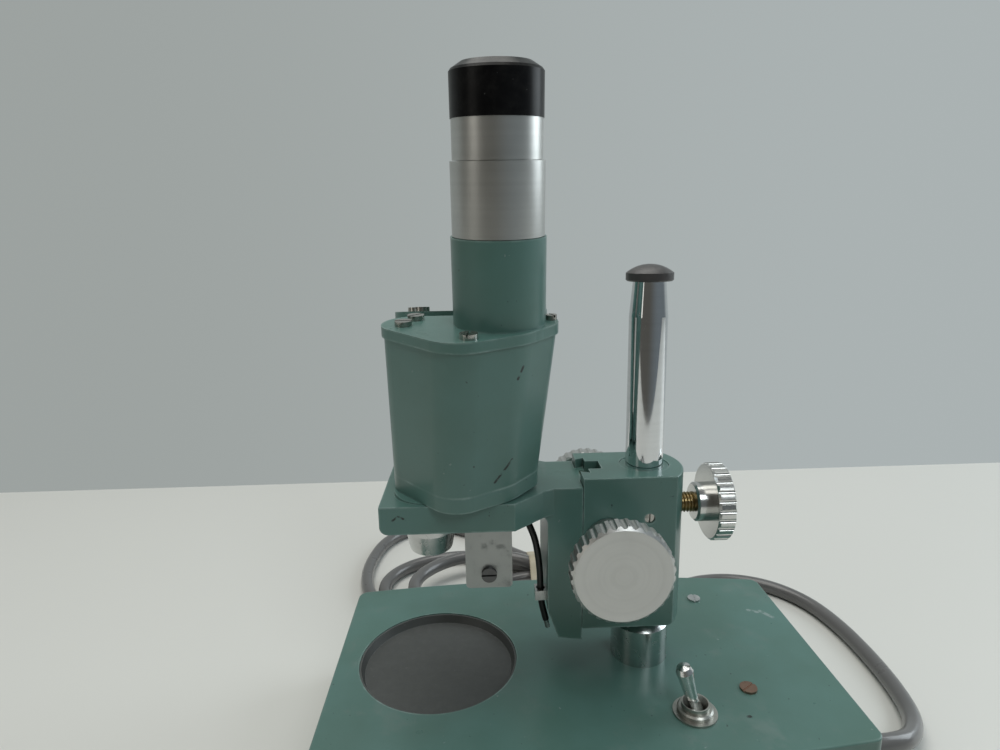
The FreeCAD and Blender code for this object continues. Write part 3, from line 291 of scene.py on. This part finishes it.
def add_clamp_thread():
    """The clamp knob's rod, with its thread as a true helix round it."""
    low, high = (Vector(corner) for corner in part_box("clamp_screw"))
    centre = (low + high) / 2
    crest = (high.y - low.y) / 2
    root, pitch, steps = crest - THREAD_DEPTH, THREAD_PITCH, THREAD_STEPS
    turns = int((high.x - low.x - 0.2 * MM) / pitch) - 1
    points, faces = [], []
    shape = ((0.0, root), (0.12, root), (0.5, crest), (0.62, crest), (0.98, root))
    count = turns * steps + 1
    for number in range(count):
        angle = 2 * math.pi * number / steps
        for along, radius in shape:
            x = low.x + 0.1 * MM + (number / steps + along) * pitch
            points.append((x, centre.y + radius * math.cos(angle), centre.z + radius * math.sin(angle)))
    wide = len(shape)
    for number in range(count - 1):
        for step in range(wide - 1):
            a = number * wide + step
            faces.append((a, a + 1, a + wide + 1, a + wide))
        if number + steps < count:
            a = number * wide + wide - 1
            b = (number + steps) * wide
            inside = number + steps + 1 < count
            faces.append((a, b, b + wide, a + wide) if inside else (a, b, a + wide))
    thread = mesh_from("clamp_thread", points, faces)
    made = link("clamp_thread", thread, "clamp", smooth=False)
    start, end, core = low.x / MM + 0.02, high.x / MM - 0.02, root / MM + 0.05
    rod = lathe("clamp_rod", [(0.0, start), (core, start), (core, end), (0.0, end)], 40)
    rod.transform(Matrix.Translation((0, centre.y, centre.z)) @ QUARTER_TURN)
    work = bmesh.new()
    work.from_mesh(thread)
    work.from_mesh(rod)
    work.to_mesh(thread)
    work.free()
    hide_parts("clamp_screw")
    return made


cord = add_cord()
tie = add_tie()
plug = add_plug()
boot = add_strain_relief()
thread = add_clamp_thread()


# ---------------------------------------------------------------- shading helpers

class Shader:
    """A material whose nodes are added by short calls. A socket given as a value is linked."""

    def __init__(self, name):
        self.material = bpy.data.materials.new(name)
        self.material.use_nodes = True
        self.tree = self.material.node_tree
        self.bsdf = self.tree.nodes["Principled BSDF"]
        self.place = self.add("TexCoord").outputs["Object"]

    def add(self, kind, settings=None, **inputs):
        """A node of a kind, with its settings and its inputs by name."""
        made = self.tree.nodes.new("ShaderNode" + kind)
        for key, value in (settings or {}).items():
            setattr(made, key, value)
        for key, value in inputs.items():
            self.plug(made.inputs[key], value)
        return made

    def plug(self, socket, value):
        if isinstance(value, bpy.types.NodeSocket):
            self.tree.links.new(value, socket)
        else:
            socket.default_value = value

    def math(self, operation, *values, clamp=False):
        made = self.add("Math", {"operation": operation, "use_clamp": clamp})
        for socket, value in zip(made.inputs, values):
            self.plug(socket, value)
        return made.outputs[0]

    def vector(self, operation, *values, output="Vector"):
        made = self.add("VectorMath", {"operation": operation})
        for socket, value in zip(made.inputs, values):
            self.plug(socket, value)
        return made.outputs[output]

    def paint(self, socket, value):
        """Set an input of the surface itself."""
        self.plug(self.bsdf.inputs[socket], value)

    def facing(self, axis):
        """The surface normal's share along an axis."""
        normal = self.add("NewGeometry").outputs["Normal"]
        return self.add("SeparateXYZ", Vector=normal).outputs[axis]

    def noise(self, scale, detail=3.0, stretch=None, rough=0.55, shift=(0, 0, 0), turn=(0, 0, 0),
              place=None):
        """Uneven values from 0 to 1. The scale is in waves per metre."""
        where = place or self.place
        if stretch or any(shift) or any(turn):
            where = self.add("Mapping", Vector=where, Location=shift, Rotation=turn,
                             Scale=stretch or (1, 1, 1)).outputs[0]
        made = self.add("TexNoise", Vector=where, Scale=scale, Detail=detail, Roughness=rough)
        return made.outputs["Fac"]

    def ramp(self, value, low, high, invert=False):
        """Smooth step of a value from low to high."""
        made = self.add("MapRange", {"interpolation_type": "SMOOTHSTEP", "clamp": True},
                        Value=value)
        made.inputs["From Min"].default_value = low
        made.inputs["From Max"].default_value = high
        made.inputs["To Min"].default_value = 1.0 if invert else 0.0
        made.inputs["To Max"].default_value = 0.0 if invert else 1.0
        return made.outputs["Result"]

    def mix(self, share, first, second):
        """A colour between two, by share."""
        made = self.add("Mix", {"data_type": "RGBA"})
        self.plug(made.inputs[0], share)
        for socket, value in ((made.inputs[6], first), (made.inputs[7], second)):
            linked = isinstance(value, bpy.types.NodeSocket)
            self.plug(socket, value if linked else (*value, 1.0))
        return made.outputs[2]

    def wash(self, share, amount, first, second):
        """A colour with some of another where share is high."""
        return self.mix(self.math("MULTIPLY", share, amount), first, second)

    def edges(self, radius):
        """How sharply the surface turns within a radius: 0 on the flat, rising on edges."""
        bent = self.add("Bevel", {"samples": 6}, Radius=radius * MM).outputs["Normal"]
        flat = self.add("NewGeometry").outputs["Normal"]
        return self.math("SUBTRACT", 1.0, self.vector("DOT_PRODUCT", bent, flat, output="Value"))

    def segment(self, start, end):
        """Distance in metres from a short line on the surface."""
        first, last = millimetres(*start), millimetres(*end)
        along = last - first
        away = self.vector("SUBTRACT", self.place, tuple(first))
        share = self.math("DIVIDE", self.vector("DOT_PRODUCT", away, tuple(along), output="Value"),
                          along.length_squared, clamp=True)
        nearest = self.vector("SCALE", tuple(along))
        self.plug(nearest.node.inputs["Scale"], share)
        return self.vector("LENGTH", self.vector("SUBTRACT", away, nearest), output="Value")

    def bump(self, height, depth, strength):
        """Raise the surface by a height from 0 to 1 times a depth in millimetres."""
        made = self.add("Bump", Strength=strength, Distance=depth * MM, Height=height)
        self.paint("Normal", made.outputs["Normal"])


def shade(colour, share):
    return tuple(channel * share for channel in colour)


def tones(shader, colour, spread, scale, second=None):
    """Base colour with slow, uneven variation."""
    slow = shader.noise(scale, 4.0)
    darker, lighter = shade(colour, 1 - spread), second or shade(colour, 1 + spread)
    return shader.mix(shader.ramp(slow, 0.3, 0.7), darker, lighter)


def marked(shader, colour, marks):
    """Scratches and chips at listed places: (start, end, half width, colour)."""
    for start, end, width, paint in marks:
        wobble = shader.math("MULTIPLY", shader.noise(900, 2.0), 0.6 * width * MM)
        distance = shader.math("SUBTRACT", shader.segment(start, end), wobble)
        near = shader.ramp(distance, width * 0.45 * MM, width * MM, invert=True)
        broken = shader.ramp(shader.noise(420, 3.0), 0.36, 0.5)
        colour = shader.wash(near, broken, colour, paint)
    return colour


def enamel(name, marks=(), edge_lightening=0.5):
    """Semi-gloss grey-green enamel over cast metal, with dust, specks, and edges washed pale both as
    rubbed paint and as a painted highlight.
    """
    shader = Shader(name)
    colour = tones(shader, (0.082, 0.168, 0.142), 0.08, 22, (0.090, 0.186, 0.166))
    blotch = shader.ramp(shader.noise(7, 2.0), 0.42, 0.7)
    colour = shader.wash(blotch, 0.35, colour, (0.074, 0.142, 0.116))
    dust = shader.ramp(shader.noise(60, 6.0, rough=0.7), 0.52, 0.72)
    lying = shader.math("MULTIPLY", shader.ramp(shader.facing("Z"), 0.6, 0.95), dust)
    colour = shader.wash(lying, 0.22, colour, (0.19, 0.22, 0.21))
    specks = shader.ramp(shader.noise(520, 2.0, shift=(3, 1, 7)), 0.735, 0.76)
    colour = shader.wash(specks, 0.75, colour, (0.02, 0.028, 0.025))
    pale = shader.ramp(shader.noise(430, 2.0, shift=(9, 4, 2)), 0.75, 0.775)
    colour = shader.wash(pale, 0.5, colour, (0.30, 0.34, 0.33))
    hair = shader.ramp(shader.noise(95, 2.0, (1, 0.04, 0.5), turn=(0.2, 0.3, 0.6)), 0.70, 0.725)
    colour = shader.wash(hair, 0.25, colour, (0.16, 0.20, 0.19))
    # Rubbed paint and painted highlight: sharp edges are washed towards a pale green, standing in both
    # for worn paint and for the bright lines that light draws along the top front edges.
    patchy = shader.ramp(shader.noise(130, 4.0), 0.42, 0.62)
    rubbed_and_highlit_edges = shader.math("MULTIPLY", shader.ramp(shader.edges(1.2), 0.012, 0.10),
                         shader.math("MULTIPLY_ADD", patchy, 0.75, 0.25))
    colour = shader.wash(rubbed_and_highlit_edges, edge_lightening, colour, (0.36, 0.46, 0.44))
    shader.paint("Base Color", marked(shader, colour, marks))
    rough = shader.math("MULTIPLY_ADD", shader.noise(90, 4.0), 0.12, 0.24)
    shader.paint("Roughness", shader.math("ADD", rough, shader.math("MULTIPLY", lying, 0.25)))
    peel, coarse = shader.noise(620, 2.0), shader.noise(120, 2.0)
    shader.bump(shader.math("MULTIPLY_ADD", coarse, 1.2, peel), 0.03, 0.4)
    return shader.material


def turning_place(shader, axis, centre, tilt):
    """Coordinates that change along an axis on its sides and with the radius on its end faces."""
    local = shader.add("Mapping", {"vector_type": "TEXTURE"}, Vector=shader.place,
                       Location=tuple(millimetres(*centre)), Rotation=(tilt, 0, 0)).outputs[0]
    parts = shader.add("SeparateXYZ", Vector=local).outputs
    squares = [shader.math("POWER", parts[name], 2.0) for name in "XYZ" if name != axis]
    radius = shader.math("SQRT", shader.math("ADD", *squares))
    on_face = shader.ramp(shader.math("ABSOLUTE", shader.facing(axis)), 0.6, 0.8)
    on_side = shader.math("SUBTRACT", 1.0, on_face)
    return shader.add("CombineXYZ", X=shader.math("MULTIPLY", radius, on_face),
                      Y=shader.math("MULTIPLY", parts[axis], on_side), Z=0.0).outputs[0]


def metal(name, colour, rough, spread=0.08, axis=None, centre=(0, 0, 0), tilt=0.0, groove=0.012,
          tarnish=0.0, stain=(0.16, 0.11, 0.06), cleaner_beyond=None):
    """Turned, rolled or plated metal. Turning marks run round the given axis."""
    shader = Shader(name)
    base = tones(shader, colour, spread, 40)
    fine = shader.noise(1300, 2.0)
    if axis:
        rings = turning_place(shader, axis, centre, tilt)
        turning, wide = shader.noise(1100, 2.0, place=rings), shader.noise(420, 2.0, place=rings)
        fine = shader.math("ADD", turning, shader.math("MULTIPLY", fine, 0.25))
        base = shader.wash(shader.ramp(wide, 0.35, 0.7), 0.25, base, shade(colour, 0.78))
    rough = shader.math("MULTIPLY_ADD", shader.noise(70, 3.0), 0.08, rough - 0.04)
    if tarnish:
        spots = shader.ramp(shader.noise(230, 5.0, rough=0.65), 0.54, 0.72)
        base = shader.wash(spots, tarnish, base, stain)
        rough = shader.math("ADD", rough, shader.math("MULTIPLY", spots, 0.25))
    scuffs = shader.ramp(shader.noise(300, 3.0, (1, 0.1, 1), turn=(0.4, 0.9, 0.2)), 0.66, 0.72)
    base = shader.wash(scuffs, 0.04, base, shade(colour, 0.55))
    if cleaner_beyond is not None:
        depth = shader.add("SeparateXYZ", Vector=shader.place).outputs["Y"]
        clean = shader.ramp(depth, cleaner_beyond * MM, (cleaner_beyond + 4) * MM)
        base = shader.mix(clean, base, (0.5, 0.52, 0.52))
    shader.paint("Base Color", base)
    shader.paint("Metallic", 1.0)
    shader.paint("Roughness", rough)
    shader.bump(fine, groove, 0.3)
    return shader.material


def plastic(name, colour, rough, spread=0.1, dust=0.0, shine=0.5, dust_colour=(0.3, 0.29, 0.27),
            grain=0.02, scale=40, coat=0.0, edge_lightening=0.0, wear_colour=(0.3, 0.3, 0.3)):
    """Moulded plastic, rubber or lacquer with fine grain, dust on its upper faces and worn edges."""
    shader = Shader(name)
    base = tones(shader, colour, spread, scale)
    if dust:
        cloud = shader.ramp(shader.noise(260, 6.0, rough=0.7), 0.38, 0.75)
        upward = shader.math("MULTIPLY_ADD", shader.ramp(shader.facing("Z"), 0.1, 0.8), 0.8, 0.2)
        base = shader.wash(shader.math("MULTIPLY", cloud, upward), dust, base, dust_colour)
    if edge_lightening:
        base = shader.wash(shader.ramp(shader.edges(0.5), 0.03, 0.2), edge_lightening, base, wear_colour)
    specks = shader.ramp(shader.noise(640, 2.0, shift=(2, 5, 1)), 0.73, 0.76)
    base = shader.wash(specks, 0.35, base, tuple(0.5 * channel + 0.12 for channel in colour))
    shader.paint("Base Color", base)
    shader.paint("Roughness", shader.math("MULTIPLY_ADD", shader.noise(80, 4.0), 0.16, rough - 0.08))
    shader.paint("Coat Weight", coat)
    shader.paint("Specular IOR Level", shine)
    shader.bump(shader.noise(900, 3.0), grain, 0.6)
    return shader.material


def glass(name, colour, rough=0.03):
    """Clear glass, a little smeared."""
    shader = Shader(name)
    smear = shader.ramp(shader.noise(90, 4.0), 0.45, 0.75)
    shader.paint("Base Color", shader.mix(smear, colour, shade(colour, 0.9)))
    shader.paint("Transmission Weight", 0.85)
    shader.paint("IOR", 1.52)
    shader.paint("Roughness", shader.math("MULTIPLY_ADD", smear, 0.08, rough))
    shader.bump(shader.noise(60, 2.0), 0.01, 0.2)
    return shader.material


def dress(material, *names):
    """Give a material to CAD nodes, by name, or to pieces made here."""
    for name in names:
        thing = NODES[name] if isinstance(name, str) else name
        thing.data.materials.clear()
        thing.data.materials.append(material)


def both(*names):
    """The near and the far microscope body's nodes."""
    return [f"{side}_{name}" for side, _ in SIDES for name in names]


# ---------------------------------------------------------------- materials

DARK, SCUFF = (0.018, 0.024, 0.022), (0.22, 0.29, 0.28)
PILLAR, SWITCH = (26, 0, 0), (37.7, -36.6, 0)
FOCUS_SHAFT, CLAMP_ROD = (9.4, 0, 99.6), (0, 0, 107.7)
OBJECTIVE_X, OBJECTIVE_Y, SEAT_LEVEL = -57, 9.5, 87
TUBE_OFFSET_X, TUBE_OFFSET_Y, BODY_TILT = 26.8, -1.0, math.radians(6.5)

# Marks are (start, end, half width, colour), in millimetres on the surface.
BASE_MARKS = [((83.7, 26.1, 42), (87.1, 24.3, 42), 0.8, SCUFF),
              ((88.8, 25, 42), (92.1, 20, 42), 0.9, SCUFF),
              ((55.8, -39.8, 42), (56.8, -39.6, 42), 0.6, DARK),
              ((52.9, -4.7, 42), (53.4, -4.6, 42), 0.4, DARK)]
HEAD_MARKS = [((-68.9, -27.6, 115.8), (-66.8, -27.6, 117.3), 0.35, DARK),
              ((-66.8, -27.6, 117.3), (-64.4, -27.6, 116.1), 0.35, DARK)]
NEAR_MARKS = [((-23.2, -33.1, 170.4), (-25, -33.5, 166.4), 0.45, DARK),
              ((-27, -28.2, 137.3), (-33, -30.1, 129.9), 0.45, DARK)]
FAR_MARKS = [((-44, 33, 150), (-41, 33, 156), 0.35, DARK)]

dress(enamel("enamel_base", BASE_MARKS, 0.55), "base_shell")
dress(enamel("enamel_head", HEAD_MARKS, 0.5), "arm_casting", "focus_block", "pillar_bush")
dress(enamel("enamel_near", NEAR_MARKS, 0.4),
      "near_housing", "near_flange", "near_lid", "near_ocular_tube")
dress(enamel("enamel_far", FAR_MARKS, 0.4),
      "far_housing", "far_flange", "far_lid", "far_ocular_tube")
dress(metal("chrome_pillar", (0.72, 0.73, 0.74), 0.07, 0.03, "Z", PILLAR, groove=0.002), "pillar")
dress(metal("chrome_lever", (0.78, 0.78, 0.77), 0.16, 0.05, "Z", SWITCH, groove=0.004,
            tarnish=0.12), "switch_lever")
dress(metal("satin_collar", (0.62, 0.64, 0.63), 0.2, 0.05, "Z", PILLAR, groove=0.004,
            tarnish=0.05), "pillar_collar")
dress(metal("worn_nickel", (0.42, 0.42, 0.39), 0.36, 0.15, "Z", SWITCH, tarnish=0.45,
            stain=(0.2, 0.19, 0.16)), "switch_nut", "switch_body")
for side, sign in SIDES:
    objective_axis = (OBJECTIVE_X, sign * OBJECTIVE_Y, SEAT_LEVEL)
    tube_axis = (OBJECTIVE_X + TUBE_OFFSET_X, sign * OBJECTIVE_Y + sign * TUBE_OFFSET_Y, SEAT_LEVEL)
    lean = -sign * BODY_TILT
    dress(metal(f"aluminium_{side}_eye", (0.56, 0.56, 0.54), 0.34, 0.05, "Z", tube_axis, lean, 0.003),
          f"{side}_dioptre_sleeve", f"{side}_eyepiece")
    dress(metal(f"chrome_{side}_lens", (0.58, 0.59, 0.58), 0.24, 0.06, "Z", objective_axis, lean,
                0.01, 0.1), f"{side}_objective")
dress(metal("aluminium_focus_knob", (0.56, 0.56, 0.545), 0.36, 0.04, "Y", FOCUS_SHAFT, groove=0.005),
      "near_focus_knob", "far_focus_knob")
dress(metal("aluminium_clamp_knob", (0.64, 0.64, 0.62), 0.2, 0.05, "X", CLAMP_ROD, groove=0.003),
      "clamp_knob")
dress(metal("aluminium_bracket", (0.36, 0.37, 0.36), 0.42, 0.08, groove=0.012, tarnish=0.06,
            stain=(0.3, 0.3, 0.27)), "lamp_bracket")
dress(metal("lamp_steel", (0.42, 0.42, 0.41), 0.25, 0.08, tarnish=0.2), "lamp_housing", "lead_clip")
dress(metal("screws_plated", (0.46, 0.45, 0.42), 0.26, 0.12, tarnish=0.35), "block_set_screw",
      "pillar_nut", *both("lid_screws"))
# The near transformer screw has rusted and the far one hasn't.
dress(metal("screws_rusty", (0.30, 0.20, 0.15), 0.38, 0.25, tarnish=0.6, stain=(0.10, 0.045, 0.025),
            cleaner_beyond=4), "transformer_screws", "base_cover_screws")
dress(metal("screws_blackened", (0.10, 0.10, 0.10), 0.34, 0.2, tarnish=0.3, stain=(0.2, 0.2, 0.19)),
      "lamp_screws")
dress(metal("steel_plain", (0.44, 0.44, 0.42), 0.34, 0.1, tarnish=0.15), "base_cover", "focus_shaft")
dress(metal("brass_plain", (0.34, 0.26, 0.13), 0.32, 0.15, tarnish=0.4, stain=(0.06, 0.045, 0.03)),
      thread, "shaft_bushes", "rack", "plug_blades")
dress(metal("core_plates", (0.12, 0.12, 0.125), 0.5, 0.2, tarnish=0.3, stain=(0.12, 0.06, 0.03)),
      "transformer_core")
dress(plastic("winding_tape", (0.45, 0.33, 0.10), 0.4, 0.2, 0.3, scale=120), "transformer_winding")
dress(plastic("cap_grey", (0.06, 0.056, 0.056), 0.36, 0.2, 0.5, dust_colour=(0.16, 0.15, 0.145)),
      "pillar_cap")
dress(plastic("eye_cap_black", (0.002, 0.002, 0.0025), 0.3, 0.2, 0.4, 0.16, (0.09, 0.087, 0.08),
              grain=0.004, edge_lightening=0.3, wear_colour=(0.07, 0.068, 0.064)), *both("eye_cap"))
dress(plastic("foot_rubber", (0.02, 0.02, 0.02), 0.62, 0.2, 0.3, grain=0.05), "rubber_feet")
dress(plastic("stage_dark", (0.058, 0.062, 0.060), 0.45, 0.08, 0.22, dust_colour=(0.12, 0.125, 0.12),
              grain=0.015, edge_lightening=0.55, wear_colour=(0.24, 0.26, 0.25)), "stage_plate")
dress(plastic("lead_black", (0.012, 0.012, 0.012), 0.3, 0.2), "lamp_lead")
dress(glass("glass_lenses", (0.78, 0.88, 0.86)), *both("optics", "eye_lenses"))
dress(glass("glass_bulb", (0.9, 0.88, 0.82), 0.2), "lamp_bulb")
dress(plastic("cord_sheath", (0.115, 0.113, 0.112), 0.3, 0.08, 0.06, dust_colour=(0.2, 0.2, 0.2),
              grain=0.004, scale=25, coat=0.4), cord)
dress(plastic("plug_plastic", (0.13, 0.128, 0.128), 0.3, 0.1, 0.15, grain=0.02, edge_lightening=0.25), plug)
dress(plastic("boot_rubber", (0.12, 0.12, 0.125), 0.5, 0.12, 0.2, grain=0.03), boot)
dress(plastic("tie_beige", (0.42, 0.37, 0.27), 0.45, 0.12, 0.25, dust_colour=(0.3, 0.27, 0.2),
              grain=0.05), tie)

# Edge roundings in millimetres.
SOFT_EDGES = {
    0.8: ["base_shell", "arm_casting", "focus_block", *both("lid", "flange")],
    0.3: ["lamp_bracket", "clamp_knob", "near_focus_knob", "far_focus_knob", "pillar_collar",
          "switch_nut", "stage_plate", "lead_clip", "transformer_screws",
          *both("housing", "ocular_tube", "dioptre_sleeve", "eyepiece", "objective", "eye_cap",
                "lid_screws")]}
for width, names in SOFT_EDGES.items():
    for name in names:
        bevel(NODES[name], width)


# ---------------------------------------------------------------- floor and light

TABLE_CORNERS = [(-2.2, -0.5, 0), (2.2, -0.5, 0), (2.2, 0.322, 0), (-2.2, 0.302, 0)]


def add_floor():
    """A pale matt table top whose far edge meets the wall tone behind."""
    shader = Shader("table_white")
    cloud = shader.noise(2.0, 3.0)
    shader.paint("Base Color", shader.mix(cloud, (0.64, 0.64, 0.61), (0.67, 0.67, 0.64)))
    shader.paint("Roughness", shader.math("MULTIPLY_ADD", shader.noise(40, 3.0), 0.1, 0.42))
    shader.bump(shader.noise(500, 2.0), 0.03, 0.3)
    mesh = mesh_from("table", TABLE_CORNERS, [(0, 1, 2, 3)])
    made = link("table", mesh, None)
    mesh.materials.append(shader.material)


def add_light(name, place, target, size, power, colour):
    """A soft rectangular light at a place, turned to a target, in metres and watts."""
    data = bpy.data.lights.new(name, "AREA")
    data.shape = "RECTANGLE"
    data.size, data.size_y = size
    data.energy = power
    data.color = colour
    made = bpy.data.objects.new(name, data)
    made.location = place
    made.rotation_euler = (Vector(target) - Vector(place)).to_track_quat("-Z", "Y").to_euler()
    scene.collection.objects.link(made)


WALL_LEFT, WALL_RIGHT = (0.335, 0.362, 0.352), (0.405, 0.446, 0.448)
ROOM_LEFT, ROOM_RIGHT = (0.095, 0.093, 0.083), (0.15, 0.175, 0.19)


def add_world():
    """A pale wall behind the object and a darker room in front of it."""
    world = bpy.data.worlds.new("studio")
    scene.world = world
    world.use_nodes = True
    tree = world.node_tree
    parts = tree.nodes.new("ShaderNodeSeparateXYZ")
    tree.links.new(tree.nodes.new("ShaderNodeTexCoord").outputs["Generated"], parts.inputs[0])

    def blend(axis, low, high, first, second):
        """From one colour to another as the direction turns along an axis."""
        share = tree.nodes.new("ShaderNodeMapRange")
        share.interpolation_type = "SMOOTHSTEP"
        share.inputs["From Min"].default_value = low
        share.inputs["From Max"].default_value = high
        tree.links.new(parts.outputs[axis], share.inputs["Value"])
        mixed = tree.nodes.new("ShaderNodeMix")
        mixed.data_type = "RGBA"
        tree.links.new(share.outputs["Result"], mixed.inputs[0])
        for socket, value in ((mixed.inputs[6], first), (mixed.inputs[7], second)):
            if isinstance(value, tuple):
                socket.default_value = (*value, 1)
            else:
                tree.links.new(value, socket)
        return mixed.outputs[2]

    wall = blend("X", -0.6, 0.6, WALL_LEFT, WALL_RIGHT)
    room = blend("X", -0.3, 0.8, ROOM_LEFT, ROOM_RIGHT)
    around = blend("Y", -0.05, 0.45, room, wall)
    tree.links.new(around, tree.nodes["Background"].inputs["Color"])


scene.view_settings.view_transform = "Standard"
add_floor()
add_world()
add_light("window_above", (-0.2, 0.1, 1.5), (0, 0, 0.1), (1.5, 1.2), 13.5, (1.0, 0.99, 0.95))
add_light("window_right", (1.3, 0.35, 0.75), (0, 0, 0.12), (0.8, 1.0), 8, (0.86, 0.95, 1.0))
add_light("room_left", (-1.2, -0.7, 0.6), (0, 0, 0.12), (0.5, 0.8), 1.2, (1.0, 0.97, 0.9))
add_light("window_front", (0.5, -1.2, 1.3), (0.03, -0.03, 0.02), (0.6, 0.6), 5.5, (0.92, 0.98, 1.0))
